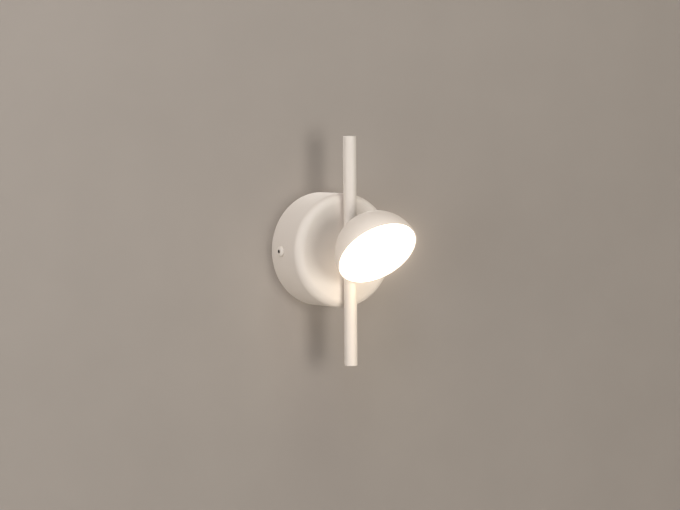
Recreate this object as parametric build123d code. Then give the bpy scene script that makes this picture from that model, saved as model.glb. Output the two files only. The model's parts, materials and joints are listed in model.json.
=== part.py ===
"""Wall light: a round canopy, a vertical rod and a half-sphere head that tilts and swivels on a hollow neck.

Units are millimetres. The wall is the plane y = 0 and the room is on the side of -Y. +Z is up, and the
origin is the middle of the canopy's back. The canopy, rod and head all sit on one neck along the Y axis.
Values that end in OUT are distances from the wall. Those that end in FRONT or BACK in the head's group
are distances from the sphere's centre towards the dome's pole.
"""

import os
from math import asin, cos, degrees, radians, sin, sqrt

from build123d import *

os.makedirs("parts", exist_ok=True)

# ---------------------------------------------------------------- driving dimensions

# Clearances
RUN_GAP = 0.1
BORE_RUN = 0.05
FREE_HOLE = 0.1
DROP_IN = 0.2

# Screws: shank radius, head radius, head thickness, socket radius, socket depth, round of the head's edge
M5 = (2.5, 4.75, 2.75, 1.75, 1.6, 2.3)
M4 = (2.0, 3.6, 1.5, 1.6, 1.0, 0.6)
M3 = (1.5, 2.75, 1.8, 1.2, 1.0, 0.7)
M25 = (1.25, 2.2, 1.4, 1.0, 0.8, 0.55)
SHANK_SHORT_OF_WALL = 0.4

# Canopy and the shallow seats for its side screws
CANOPY_R = 50
CANOPY_DEPTH = 43
CANOPY_WALL = 1.2
CANOPY_ROUND = 7.5
SIDE_SCREW_OUT = 15.5
SIDE_SCREW_LENGTH = 6.5
SEAT_DEPTH = 0.4
SEAT_RING = 0.45
SEAT_FLARE = 1.4
BOSS_RING = 1.4
BOSS_INTO_WALL = 1.5

# Rod
ROD_R = 5.65
ROD_LENGTH = 200
ROD_GAP = 0.45
ROD_BEVEL = 0.2
SADDLE_R = 6.0
SEAT_R = 5.6
SADDLE_FROM_AXIS = 2.5

# Head: a half sphere whose centre is the point that it tilts about
DOME_R = 36.8
DOME_WALL = 1.3
DOME_GAP = 0.45
REST_TILT = 43
MAX_TILT = 45

# Neck and what is stacked on it
NECK_R = 4.0
NECK_BORE_R = 2.75
NECK_BEVEL = 0.4
NECK_TAIL = 2.3
NECK_TIP = 1.0
KEY_FLAT = 0.6
NUT_FLATS = 13
NUT_THICK = 3.5
LOCK_WASHER_R = 8.5
LOCK_WASHER_THICK = 1.0
STOP_WASHER_THICK = 1.0
SPRING_WASHER_R = 7.5
SPRING_WASHER_THICK = 1.2

# Shoe that the dome slides on, and the stops of the swivel
SHOE_R = 10
SHOE_THICK = 3.3
GUIDE_WALL = 1.35
GUIDE_END = 1.6
GUIDE_SINK = 0.2
SLOT_SIDE_GAP = 0.15
SLOT_SPARE_ANGLE = 0.7
STOP_RIM = 1.8
STOP_HEIGHT = 0.9
STOP_WIDTH = 2.2
STOP_TAB_ANGLE = 12
STOP_LUG_ANGLE = 6

# Bracket and cable entry
PLATE_R = 40
PLATE_THICK = 2
TAB_WIDTH = 18
TAB_GAP = 0.25
TAB_ABOVE_SCREW = 7
TAB_CORNER = 5
WALL_SCREW_SPACING = 60
WALL_SLOT_LENGTH = 12
WALL_SLOT_WIDTH = 5
CABLE_HOLE_R = 9
GROMMET_BORE_R = 6
GROMMET_LIP = 2.5
GROMMET_LIP_THICK = 1.5
GROMMET_BEVEL = 0.8

# Driver, in the upper half of the canopy
DRIVER_LENGTH = 52
DRIVER_WIDTH = 24
DRIVER_HEIGHT = 18
DRIVER_Z = 25
DRIVER_WALL = 1.5
DRIVER_LID = 1.5
DRIVER_CORNER = 2
LUG_REACH = 7
LUG_WIDTH = 8
LUG_THICK = 2
LUG_Z = 18
POST_R = 1.8
POST_HEIGHT = 2.5
POST_INSET = 5
BOARD_THICK = 1.6
WIRE_SOCKET_DEPTH = 3.5
WIRE_SOCKET_HALF = 3
LIP_DEPTH = 1.5
LIP_WALL = 1.2

# On the driver's board, measured along it from its middle and across it from its low edge:
# blocks as (along, across, height) and round parts as (along, across, radius, height)
CORE = ((-4, 10), (8, 21), 10)
WINDING = ((-2, 8), (7.5, 21.5), 10.5)
RECTIFIER = ((-12, -7), (9, 13), 2.5)
INPUT_CAPACITOR = (-18, 14, 4.5, 9)
OUTPUT_CAPACITOR = (17, 13, 3.5, 9)
CHOKE = (-9.5, 18, 2.5, 6)

# Terminal block, in the lower half
BLOCK_LENGTH = 30
BLOCK_WIDTH = 16
BLOCK_HEIGHT = 14
BLOCK_Z = -28
BLOCK_CORNER = 1
WAY_SPACING = 10
WIRE_HOLE_DEPTH = 6.5
MAINS_HOLE_R = 1.6
CLAMP_R = 2.0
CLAMP_SIDE_GAP = 0.05
CLAMP_OFFSET = 4
CLAMP_LENGTH = 3.4
MOUNT_RECESS_R = 3
MOUNT_RECESS_FLOOR = 5

# Wires
WIRE_R = 1.1
WIRE_OUT = 10
WIRE_GRIP = 4
LAMP_LEAD_R = 1.2
LIVE_X = -17
NEUTRAL_X = -9
LAMP_LEAD_X = 12
EARTH_X = 24
EARTH_Z = -22
TAG_R = 4
TAG_THICK = 0.8
TAG_BARREL_WALL = 0.7
TAG_BARREL_LENGTH = 4
TAG_BARREL_Z = 7.5
INPUT_TURNS_Z = (-13, 4)
INPUT_BENDS = (12, 12)
EARTH_TURNS_Z = (-8, -3, -6.5)
EARTH_ARCH_OUT = 7
EARTH_BENDS = (5, 4, 4)
LAMP_TURN_Z = 4
LAMP_CROSSING = (5, 19, -3)
LAMP_NECK_TURN_OUT = 27
LAMP_BENDS = (7, 9, 8)
HEAD_STRAIGHT = 5.5
HEAD_BENDS = (6, 7, 6)

# Inside the head
RIM_WALL = 1.0
DISC_THICK = 2.1
DISC_BEAD = 0.3
DISC_EDGE = 0.2
LED_SPACE = 3.6
LED_THICK = 0.7
LED_SIDE = 2.8
LED_RING_COUNTS = (1, 6, 12)
LED_EDGE_INSET = 8
LED_BOARD_GAP = 0.5
LED_BOARD_THICK = 1.6
LED_SCREW_INSET = 3.5
LED_SCREW_LENGTH = 4
SINK_THICK = 2.5
SINK_GAP = 1.2
PILLAR_R = 3.2
PILLAR_INSET = 5
SINK_SCREW_GRIP = 6
COUNTERSINK = 1.5
REFLECTOR_WALL = 1.0
REFLECTOR_LIP = 1.3
PLUG_GAP = 2.8
PLUG_LENGTH = 7
PLUG_WIDTH = 8
PLUG_HEIGHT = 7.5
PLUG_ENTRY = 5

# ---------------------------------------------------------------- places that follow from them

ROD_OUT = CANOPY_DEPTH + ROD_GAP + ROD_R
DOME_OUT = ROD_OUT + ROD_R + DOME_GAP + DOME_R
DOME_INNER_R = DOME_R - DOME_WALL
COVER_INSIDE_OUT = CANOPY_DEPTH - CANOPY_WALL
NECK_NUT_OUT = COVER_INSIDE_OUT - LOCK_WASHER_THICK
NECK_TAIL_OUT = NECK_NUT_OUT - NUT_THICK - NECK_TAIL
SHOE_FACE_OUT = DOME_OUT - DOME_INNER_R + SHOE_THICK
STOP_WASHER_OUT = SHOE_FACE_OUT + RUN_GAP
SPRING_WASHER_OUT = STOP_WASHER_OUT + STOP_WASHER_THICK
FRONT_NUT_OUT = SPRING_WASHER_OUT + SPRING_WASHER_THICK
NECK_TIP_OUT = FRONT_NUT_OUT + NUT_THICK + NECK_TIP

TAB_FACE_X = sqrt((CANOPY_R - CANOPY_WALL) ** 2 - (TAB_WIDTH / 2) ** 2) - TAB_GAP
SEAT_X = CANOPY_R - SEAT_DEPTH
SIDE_SEAT_R = M5[1] + SEAT_RING

DRIVER_LOW = DRIVER_Z - DRIVER_WIDTH / 2
DRIVER_HIGH = DRIVER_Z + DRIVER_WIDTH / 2
DRIVER_TOP_OUT = PLATE_THICK + DRIVER_HEIGHT
LUG_HOLE_X = DRIVER_LENGTH / 2 + LUG_REACH - LUG_WIDTH / 2
BOARD_OUT = PLATE_THICK + DRIVER_WALL + POST_HEIGHT
BOARD_TOP_OUT = BOARD_OUT + BOARD_THICK
DRIVER_WIRE_END = DRIVER_LOW + DRIVER_WALL + 1

BLOCK_TOP = BLOCK_Z + BLOCK_WIDTH / 2
BLOCK_BOTTOM = BLOCK_Z - BLOCK_WIDTH / 2
BLOCK_OUT = PLATE_THICK + BLOCK_HEIGHT
WAY_X = (-WAY_SPACING, 0, WAY_SPACING)
CLAMPS = ((BLOCK_Z + CLAMP_OFFSET, WIRE_R), (BLOCK_Z - CLAMP_OFFSET, MAINS_HOLE_R))
MOUNT_SCREW_X = -WAY_SPACING / 2

GUIDE_HALF_WIDTH = NECK_R + BORE_RUN + GUIDE_WALL
SLOT_HALF_WIDTH = GUIDE_HALF_WIDTH + SLOT_SIDE_GAP
SLOT_SPARE = degrees(asin(GUIDE_END / DOME_INNER_R)) + SLOT_SPARE_ANGLE
STOP_OUT_R = SHOE_R - STOP_RIM
STOP_IN_R = STOP_OUT_R - STOP_WIDTH

DISC_R = DOME_R - RIM_WALL - FREE_HOLE
LED_BOARD_FRONT = DISC_THICK + LED_SPACE + LED_THICK
SINK_FRONT = LED_BOARD_FRONT + LED_BOARD_THICK
SINK_BACK = SINK_FRONT + SINK_THICK
SINK_R = sqrt(DOME_INNER_R**2 - SINK_BACK**2) - SINK_GAP
PILLAR_OFFSET = SINK_R - PILLAR_INSET
PLUG_X = PILLAR_OFFSET - PILLAR_R - PLUG_GAP - PLUG_LENGTH / 2
LED_BOARD_R = PILLAR_OFFSET - M3[0] - COUNTERSINK - LED_BOARD_GAP
LED_SCREW_OFFSET = LED_BOARD_R - LED_SCREW_INSET
LED_RING_PITCH = (LED_BOARD_R - LED_EDGE_INSET) / (len(LED_RING_COUNTS) - 1)


# ---------------------------------------------------------------- shapes used throughout


def turned(*outline):
    """A solid turned about the Y axis, from (radius, y) points."""
    return revolve(make_face(Polyline(*outline, close=True)), Axis.Y)


def ring(outer, inner, y_start, y_end):
    return turned((inner, y_start), (outer, y_start), (outer, y_end), (inner, y_end))


def peg(x, z, radius, y_start, y_end):
    """A round bar along Y."""
    middle = (y_start + y_end) / 2
    return Pos(x, middle, z) * Rot(90, 0, 0) * Cylinder(radius, abs(y_end - y_start))


def upright_peg(x, y, radius, z_start, z_end):
    """A round bar along Z."""
    return Pos(x, y, (z_start + z_end) / 2) * Cylinder(radius, abs(z_end - z_start))


def block(x_span, y_span, z_span):
    size = [abs(high - low) for low, high in (x_span, y_span, z_span)]
    centre = [(low + high) / 2 for low, high in (x_span, y_span, z_span)]
    return Pos(*centre) * Box(*size)


def around(middle, width):
    return (middle - width / 2, middle + width / 2)


def ball(radius):
    """A ball about the centre of the dome, in the wall's frame."""
    return Pos(0, -DOME_OUT, 0) * Sphere(radius)


def rod_space():
    return Pos(0, -ROD_OUT, 0) * Cylinder(ROD_R, ROD_LENGTH)


def in_head(shape):
    """Moves a shape from the head's own frame, where it faces along -Y, to its rest pose."""
    return Pos(0, -DOME_OUT, 0) * Rot(REST_TILT, 0, 0) * shape


def facing_room(x, y, z):
    """Places a screw with its head towards the room."""
    return Pos(x, y, z) * Rot(90, 0, 0)


def screw(size, length):
    """A low round-headed screw with a hexagon socket. Its head is above z = 0 and its shank below."""
    shank_r, head_r, head_thick, socket_r, socket_depth, head_round = size
    head = Pos(0, 0, head_thick / 2) * Cylinder(head_r, head_thick)
    head = fillet(head.edges().group_by(Axis.Z)[-1], head_round)
    shank = Pos(0, 0, -length / 2) * Cylinder(shank_r, length)
    socket = Pos(0, 0, head_thick - socket_depth) * extrude(RegularPolygon(socket_r, 6), socket_depth)
    return head + shank - socket


def hexagon_nut(y_start):
    """A thin nut on the neck, from y_start towards the wall. Its corners are turned off."""
    y_end = y_start + NUT_THICK
    flat_r, corner_r = NUT_FLATS / 2, NUT_FLATS / sqrt(3)
    drop = corner_r - flat_r
    hexagon = RegularPolygon(flat_r, 6, major_radius=False)
    body = Pos(0, y_end, 0) * Rot(90, 0, 0) * extrude(hexagon, NUT_THICK)
    turned_body = turned(
        (NECK_R, y_start),
        (flat_r, y_start),
        (corner_r, y_start + drop / 2),
        (corner_r, y_end - drop / 2),
        (flat_r, y_end),
        (NECK_R, y_end),
    )
    return body & turned_body


def sector(inner, outer, y_start, y_end, middle_angle, width):
    """Part of a ring about Y, with its middle at an angle from +Z."""
    reach = 2 * outer
    side, ahead = reach * sin(radians(width / 2)), reach * cos(radians(width / 2))
    wedge = make_face(Polyline((0, 0), (-side, ahead), (side, ahead), close=True))
    solid = Pos(0, max(y_start, y_end), 0) * Rot(90, 0, 0) * extrude(wedge, abs(y_end - y_start))
    return ring(outer, inner, y_start, y_end) & (Rot(0, middle_angle, 0) * solid)


def tube_along(points, radii, radius):
    """A wire along straight runs joined by arcs."""
    path = FilletPolyline(*points, radius=radii)
    section = Plane(origin=path @ 0, z_dir=path % 0) * Circle(radius)
    wire = sweep(section, path=path)
    ratio = wire.volume / (path.length * section.area)
    print("wire length", round(path.length, 1), "radii", radii, "volume ratio", round(ratio, 4))
    return wire


# ---------------------------------------------------------------- canopy and rod


def canopy_cover():
    outer = peg(0, 0, CANOPY_R, 0, -CANOPY_DEPTH)
    outer = fillet(outer.edges().group_by(Axis.Y)[0], CANOPY_ROUND)
    inner = peg(0, 0, CANOPY_R - CANOPY_WALL, 1, -COVER_INSIDE_OUT)
    inner = fillet(inner.edges().group_by(Axis.Y)[0], CANOPY_ROUND - CANOPY_WALL)
    cover = outer - inner
    for side in (-1, 1):
        place = Pos(0, -SIDE_SCREW_OUT, 0) * Rot(0, 90 * side, 0)
        boss = Pos(0, 0, TAB_FACE_X + BOSS_INTO_WALL / 2) * Cylinder(SIDE_SEAT_R + BOSS_RING, BOSS_INTO_WALL)
        seat = Pos(0, 0, SEAT_X + SEAT_FLARE / 2) * Cone(SIDE_SEAT_R, SIDE_SEAT_R + SEAT_FLARE, SEAT_FLARE)
        hole = Pos(0, 0, SEAT_X) * Cylinder(M5[0] + FREE_HOLE, 4 * CANOPY_WALL)
        cover = cover + place * boss - place * seat - place * hole
    return cover - peg(0, 0, NECK_R + FREE_HOLE, -CANOPY_DEPTH - 1, -COVER_INSIDE_OUT + 1)


def cover_screws():
    button = Pos(0, 0, SEAT_X) * screw(M5, SIDE_SCREW_LENGTH)
    return [Pos(0, -SIDE_SCREW_OUT, 0) * Rot(0, 90 * side, 0) * button for side in (-1, 1)]


def rod():
    bar = rod_space()
    bar = chamfer(bar.edges().filter_by(GeomType.CIRCLE), ROD_BEVEL)
    return bar - peg(0, 0, NECK_R, -ROD_OUT - ROD_R, -ROD_OUT + ROD_R)


def rear_saddle():
    return ring(SADDLE_R, NECK_R, -CANOPY_DEPTH, -ROD_OUT + SADDLE_FROM_AXIS) - rod_space()


def front_saddle():
    """Low-friction seat between the rod and the dome."""
    seat = ring(SEAT_R, NECK_R, -ROD_OUT - SADDLE_FROM_AXIS, -DOME_OUT + DOME_R - SEAT_R)
    return seat - ball(DOME_R + RUN_GAP) - rod_space()


# ---------------------------------------------------------------- bracket and cable entry


def wall_bracket():
    plate = peg(0, 0, PLATE_R, 0, -PLATE_THICK)
    tab_out = SIDE_SCREW_OUT + TAB_ABOVE_SCREW
    inside = TAB_FACE_X - PLATE_THICK
    bend = PLATE_THICK / 4
    strap = block((-TAB_FACE_X, TAB_FACE_X), (0, -tab_out), around(0, TAB_WIDTH))
    strap = fillet(strap.edges().filter_by(Axis.Z).group_by(Axis.Y)[-1], PLATE_THICK + bend)
    hollow = block((-inside, inside), (-PLATE_THICK, -tab_out - 1), around(0, TAB_WIDTH + 2))
    hollow = fillet(hollow.edges().filter_by(Axis.Z).group_by(Axis.Y)[-1], bend)
    strap = strap - hollow
    bracket = plate + fillet(strap.edges().filter_by(Axis.X).group_by(Axis.Y)[0], TAB_CORNER)
    slot = SlotCenterToCenter(WALL_SLOT_LENGTH - WALL_SLOT_WIDTH, WALL_SLOT_WIDTH)
    slot_cut = Pos(0, 1, 0) * Rot(90, 0, 0) * extrude(slot, PLATE_THICK + 2)
    for side in (-1, 1):
        bracket -= Pos(side * WALL_SCREW_SPACING / 2, 0, 0) * slot_cut
    holes = [
        (0, 0, CABLE_HOLE_R),
        (-LUG_HOLE_X, LUG_Z, M3[0]),
        (LUG_HOLE_X, LUG_Z, M3[0]),
        (EARTH_X, EARTH_Z, M4[0]),
        (MOUNT_SCREW_X, BLOCK_Z, M3[0]),
    ]
    for x, z, radius in holes:
        bracket -= peg(x, z, radius, 1, -PLATE_THICK - 1)
    across = Rot(0, 90, 0) * Cylinder(M5[0], 2 * TAB_FACE_X + 2)
    return bracket - Pos(0, -SIDE_SCREW_OUT, 0) * across


def cable_grommet():
    lip_r, lip_out = CABLE_HOLE_R + GROMMET_LIP, PLATE_THICK + GROMMET_LIP_THICK
    return turned(
        (GROMMET_BORE_R, 0),
        (CABLE_HOLE_R, 0),
        (CABLE_HOLE_R, -PLATE_THICK),
        (lip_r, -PLATE_THICK),
        (lip_r - GROMMET_BEVEL, -lip_out),
        (GROMMET_BORE_R, -lip_out),
    )


def earth_screw():
    length = PLATE_THICK + TAG_THICK - SHANK_SHORT_OF_WALL
    return facing_room(EARTH_X, -PLATE_THICK - TAG_THICK, EARTH_Z) * screw(M4, length)


# ---------------------------------------------------------------- driver


def driver_outline(y_span, inset=0.0):
    """A block of the driver's plan, drawn in by an inset."""
    return block(
        around(0, DRIVER_LENGTH - 2 * inset), y_span, (DRIVER_LOW + inset, DRIVER_HIGH - inset)
    )


def driver_case():
    box = driver_outline((-PLATE_THICK, -DRIVER_TOP_OUT))
    box = fillet(box.edges().filter_by(Axis.Y), DRIVER_CORNER)
    case = box - driver_outline((-PLATE_THICK - DRIVER_WALL, -DRIVER_TOP_OUT - 1), DRIVER_WALL)
    wall_x = DRIVER_LENGTH / 2 - DRIVER_WALL / 2
    for side in (-1, 1):
        case += block(
            (side * wall_x, side * (DRIVER_LENGTH / 2 + LUG_REACH)),
            (-PLATE_THICK, -PLATE_THICK - LUG_THICK),
            around(LUG_Z, LUG_WIDTH),
        )
        case -= peg(side * LUG_HOLE_X, LUG_Z, M3[0] + FREE_HOLE, 0, -DRIVER_TOP_OUT)
        for z in (DRIVER_LOW + POST_INSET, DRIVER_HIGH - POST_INSET):
            post_x = side * (DRIVER_LENGTH / 2 - POST_INSET)
            case += peg(post_x, z, POST_R, -PLATE_THICK - DRIVER_WALL / 2, -BOARD_OUT)
    wires = ((LIVE_X, WIRE_R), (NEUTRAL_X, WIRE_R), (LAMP_LEAD_X, LAMP_LEAD_R))
    for x, radius in wires:
        case -= upright_peg(x, -WIRE_OUT, radius, DRIVER_LOW - 1, DRIVER_WIRE_END)
    return case


def driver_lid():
    lid = driver_outline((-DRIVER_TOP_OUT, -DRIVER_TOP_OUT - DRIVER_LID))
    lid = fillet(lid.edges().filter_by(Axis.Y), DRIVER_CORNER)
    lip_span = (-DRIVER_TOP_OUT + LIP_DEPTH, -DRIVER_TOP_OUT)
    lip_inset = DRIVER_WALL + FREE_HOLE
    lip = driver_outline(lip_span, lip_inset) - driver_outline(lip_span, lip_inset + LIP_WALL)
    return lid + lip


def driver_board():
    return driver_outline((-BOARD_OUT, -BOARD_TOP_OUT), DRIVER_WALL + DROP_IN)


def on_driver_board(x_span, z_span, height):
    """A block on the driver's board, with its place along the driver's width from the board's low edge."""
    z_span = [DRIVER_LOW + z for z in z_span]
    return block(x_span, (-BOARD_TOP_OUT, -BOARD_TOP_OUT - height), z_span)


def round_on_driver_board(x, z, radius, height):
    return peg(x, DRIVER_LOW + z, radius, -BOARD_TOP_OUT, -BOARD_TOP_OUT - height)


def driver_parts():
    """Wire blocks, transformer, capacitors, choke and rectifier on the driver's board."""
    socket_z = (DRIVER_WALL + 1, DRIVER_WALL + 1 + WIRE_SOCKET_DEPTH)
    socket_height = 2 * (WIRE_OUT - BOARD_TOP_OUT)
    inputs = (LIVE_X - WIRE_SOCKET_HALF, NEUTRAL_X + WIRE_SOCKET_HALF)
    output = around(LAMP_LEAD_X, 2 * WIRE_SOCKET_HALF)
    return [
        on_driver_board(inputs, socket_z, socket_height),
        on_driver_board(output, socket_z, socket_height),
        on_driver_board(*CORE) + on_driver_board(*WINDING),
        round_on_driver_board(*INPUT_CAPACITOR),
        round_on_driver_board(*OUTPUT_CAPACITOR),
        round_on_driver_board(*CHOKE),
        on_driver_board(*RECTIFIER),
    ]


def driver_screws():
    size = screw(M3, PLATE_THICK + LUG_THICK - SHANK_SHORT_OF_WALL)
    face = -PLATE_THICK - LUG_THICK
    return [facing_room(side * LUG_HOLE_X, face, LUG_Z) * size for side in (-1, 1)]


# ---------------------------------------------------------------- terminals and wires


def terminal_block():
    body = block(around(0, BLOCK_LENGTH), (-PLATE_THICK, -BLOCK_OUT), (BLOCK_BOTTOM, BLOCK_TOP))
    body = fillet(body.edges().filter_by(Axis.Y), BLOCK_CORNER)
    for x in WAY_X:
        body -= upright_peg(x, -WIRE_OUT, WIRE_R, BLOCK_TOP + 1, BLOCK_TOP - WIRE_HOLE_DEPTH)
        body -= upright_peg(x, -WIRE_OUT, MAINS_HOLE_R, BLOCK_BOTTOM - 1, BLOCK_BOTTOM + WIRE_HOLE_DEPTH)
        for z, wire_hole in CLAMPS:
            body -= peg(x, z, CLAMP_R, -WIRE_OUT - wire_hole + 0.2, -BLOCK_OUT - 1)
    recess_floor = -PLATE_THICK - MOUNT_RECESS_FLOOR
    body -= peg(MOUNT_SCREW_X, BLOCK_Z, M3[0] + FREE_HOLE, 0, -BLOCK_OUT - 1)
    return body - peg(MOUNT_SCREW_X, BLOCK_Z, MOUNT_RECESS_R, recess_floor, -BLOCK_OUT - 1)


def terminal_screws():
    slot_depth = 0.8
    slot = Pos(0, 0, CLAMP_LENGTH - slot_depth / 2) * Box(slot_depth, 2 * CLAMP_R + 1, slot_depth)
    clamp = Pos(0, 0, CLAMP_LENGTH / 2) * Cylinder(CLAMP_R - CLAMP_SIDE_GAP, CLAMP_LENGTH) - slot
    return [facing_room(x, -WIRE_OUT - hole, z) * clamp for x in WAY_X for z, hole in CLAMPS]


def terminal_mount_screw():
    length = PLATE_THICK + MOUNT_RECESS_FLOOR - SHANK_SHORT_OF_WALL
    return facing_room(MOUNT_SCREW_X, -PLATE_THICK - MOUNT_RECESS_FLOOR, BLOCK_Z) * screw(M3, length)


def input_leads():
    """Live and neutral, from the terminal block up to the driver."""
    leads = []
    for start, end in ((WAY_X[0], LIVE_X), (WAY_X[1], NEUTRAL_X)):
        points = [
            (start, -WIRE_OUT, BLOCK_TOP - WIRE_GRIP),
            (start, -WIRE_OUT, INPUT_TURNS_Z[0]),
            (end, -WIRE_OUT, INPUT_TURNS_Z[1]),
            (end, -WIRE_OUT, DRIVER_WIRE_END),
        ]
        leads.append(tube_along(points, INPUT_BENDS, WIRE_R))
    return leads


def earth_lead():
    """A wire that ends in a ring tag under the earth screw."""
    barrel_r = WIRE_R + TAG_BARREL_WALL
    barrel_y = -PLATE_THICK - barrel_r
    barrel_low = EARTH_Z + TAG_BARREL_Z - TAG_BARREL_LENGTH / 2
    barrel_high = EARTH_Z + TAG_BARREL_Z + TAG_BARREL_LENGTH / 2
    points = [
        (WAY_X[2], -WIRE_OUT, BLOCK_TOP - WIRE_GRIP),
        (WAY_X[2], -WIRE_OUT, EARTH_TURNS_Z[0]),
        ((WAY_X[2] + EARTH_X) / 2, -EARTH_ARCH_OUT, EARTH_TURNS_Z[1]),
        (EARTH_X, barrel_y - WIRE_R / 2, EARTH_TURNS_Z[2]),
        (EARTH_X, barrel_y, barrel_high - 1),
    ]
    wire = tube_along(points, EARTH_BENDS, WIRE_R)
    tag_span = (-PLATE_THICK, -PLATE_THICK - TAG_THICK)
    tongue = block(around(EARTH_X, 2 * barrel_r), tag_span, (EARTH_Z + TAG_R / 2, barrel_high))
    barrel = upright_peg(EARTH_X, barrel_y, barrel_r, barrel_low, barrel_high)
    tag = peg(EARTH_X, EARTH_Z, TAG_R, *tag_span) + tongue + barrel
    return wire + tag - peg(EARTH_X, EARTH_Z, M4[0] + FREE_HOLE, 0, -2 * PLATE_THICK)


def lamp_lead():
    """From the driver through the neck to its tip."""
    points = [
        (LAMP_LEAD_X, -WIRE_OUT, DRIVER_WIRE_END),
        (LAMP_LEAD_X, -WIRE_OUT, LAMP_TURN_Z),
        (LAMP_CROSSING[0], -LAMP_CROSSING[1], LAMP_CROSSING[2]),
        (0, -LAMP_NECK_TURN_OUT, 0),
        (0, -NECK_TIP_OUT, 0),
    ]
    return tube_along(points, LAMP_BENDS, LAMP_LEAD_R)


# ---------------------------------------------------------------- neck


def neck_tube():
    tube = turned(
        (NECK_BORE_R, -NECK_TAIL_OUT),
        (NECK_R - NECK_BEVEL, -NECK_TAIL_OUT),
        (NECK_R, -NECK_TAIL_OUT - NECK_BEVEL),
        (NECK_R, -NECK_TIP_OUT + NECK_BEVEL),
        (NECK_R - NECK_BEVEL, -NECK_TIP_OUT),
        (NECK_BORE_R, -NECK_TIP_OUT),
    )
    return tube - key_space(-SHOE_FACE_OUT, -NECK_TIP_OUT - 1)


def key_space(y_start, y_end):
    """What the flat takes off the neck's upper side."""
    return block(around(0, 2 * NECK_R), (y_start, y_end), (NECK_R - KEY_FLAT, NECK_R)) & peg(
        0, 0, NECK_R, y_start, y_end
    )


def neck_washer():
    return ring(LOCK_WASHER_R, NECK_R, -COVER_INSIDE_OUT, -NECK_NUT_OUT)


def neck_nut():
    return hexagon_nut(-NECK_NUT_OUT)


def stop_washer():
    """Keyed to the neck's flat, so it doesn't turn. Its tab meets the shoe's lug at each end of the swivel."""
    back, front = -STOP_WASHER_OUT, -SPRING_WASHER_OUT
    disc = ring(STOP_OUT_R, NECK_R, back, front)
    tab = sector(STOP_IN_R + DROP_IN, STOP_OUT_R - DROP_IN, back + STOP_HEIGHT, back, 0, STOP_TAB_ANGLE)
    return disc + key_space(back, front) + tab


def spring_washer():
    """A crinkle washer, pressed flat by the front nut."""
    return ring(SPRING_WASHER_R, NECK_R, -SPRING_WASHER_OUT, -FRONT_NUT_OUT)


def front_nut():
    return hexagon_nut(-FRONT_NUT_OUT - NUT_THICK)


def slot_shoe():
    """A round flange under the dome's slot, with a guide that fills the slot's width."""
    near, far = -DOME_OUT + DOME_R, -SHOE_FACE_OUT
    flange = peg(0, 0, SHOE_R, near, far) & ball(DOME_INNER_R - RUN_GAP)
    plan = SlotCenterToCenter(2 * GUIDE_END, 2 * GUIDE_HALF_WIDTH, rotation=90)
    guide = Pos(0, near, 0) * Rot(90, 0, 0) * extrude(plan, near - far)
    shoe = flange + (guide & ball(DOME_R - GUIDE_SINK))
    shoe -= peg(0, 0, NECK_R + BORE_RUN, near, far - 1)
    floor = far + STOP_HEIGHT + DROP_IN
    groove = ring(STOP_OUT_R, STOP_IN_R, floor, far)
    lug = sector(STOP_IN_R - 0.1, STOP_OUT_R + 0.1, floor, far, 180, STOP_LUG_ANGLE)
    return shoe - (groove - lug)


# ---------------------------------------------------------------- head, in its own frame


def pillar_places():
    return [(-PILLAR_OFFSET, 0), (PILLAR_OFFSET, 0), (0, PILLAR_OFFSET)]


def board_screw_places():
    angles = [radians(turn) for turn in (30, 150, 270)]
    return [(LED_SCREW_OFFSET * cos(angle), LED_SCREW_OFFSET * sin(angle)) for angle in angles]


def dome_slot():
    """The slot runs from the pole down towards the rim, so the head tilts from level to its lowest."""
    first, last = -SLOT_SPARE, MAX_TILT + SLOT_SPARE
    half, low, high = SLOT_HALF_WIDTH, DOME_INNER_R - 3, DOME_R + 3
    section = make_face(Polyline((-half, low), (half, low), (half, high), (-half, high), close=True))
    band = revolve(Rot(-last, 0, 0) * section, Axis.X, revolution_arc=last - first)
    for angle in (first, last):
        band += Rot(-angle, 0, 0) * peg(0, 0, half, low, high)
    return band


def dome_shell():
    size = 2 * DOME_R + 2
    front_half = block(around(0, size), (0, -size), around(0, size))
    shell = Sphere(DOME_R) - Sphere(DOME_INNER_R) - front_half
    shell -= peg(0, 0, DISC_R + FREE_HOLE, -1, DISC_THICK)
    groove_half = DISC_BEAD
    groove_r = DISC_R + DISC_BEAD + BORE_RUN
    shell -= ring(groove_r, DISC_R, DISC_THICK / 2 - groove_half, DISC_THICK / 2 + groove_half)
    for x, z in pillar_places():
        shell += peg(x, z, PILLAR_R, SINK_BACK, DOME_R) & Sphere(DOME_INNER_R + DOME_WALL / 3)
        shell -= peg(x, z, M3[0], SINK_BACK - 1, SINK_BACK + SINK_SCREW_GRIP + 1)
    return in_head(shell - dome_slot())


def flush_screw(x, z):
    """A countersunk screw along the head's axis, without its socket. Its hole has the same shape."""
    outline = (
        (0, SINK_FRONT),
        (M3[0] + COUNTERSINK, SINK_FRONT),
        (M3[0], SINK_FRONT + COUNTERSINK),
        (M3[0], SINK_BACK + SINK_SCREW_GRIP),
        (0, SINK_BACK + SINK_SCREW_GRIP),
    )
    return Pos(x, 0, z) * turned(*outline)


def heat_sink():
    plate = peg(0, 0, SINK_R, SINK_FRONT, SINK_BACK)
    for x, z in pillar_places():
        plate -= flush_screw(x, z)
    for x, z in board_screw_places():
        plate -= peg(x, z, M25[0], SINK_FRONT - 1, SINK_BACK + 1)
    window = block(
        around(PLUG_X, PLUG_LENGTH + 2 * DROP_IN),
        (SINK_FRONT - 1, SINK_BACK + 1),
        around(0, PLUG_WIDTH + 2 * DROP_IN),
    )
    return in_head(plate - window)


def heat_sink_screws():
    socket_depth = M3[4]
    socket = Rot(90, 0, 0) * extrude(RegularPolygon(M3[3], 6), socket_depth)
    screws = []
    for x, z in pillar_places():
        screws.append(in_head(flush_screw(x, z) - Pos(x, SINK_FRONT + socket_depth, z) * socket))
    return screws


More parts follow.
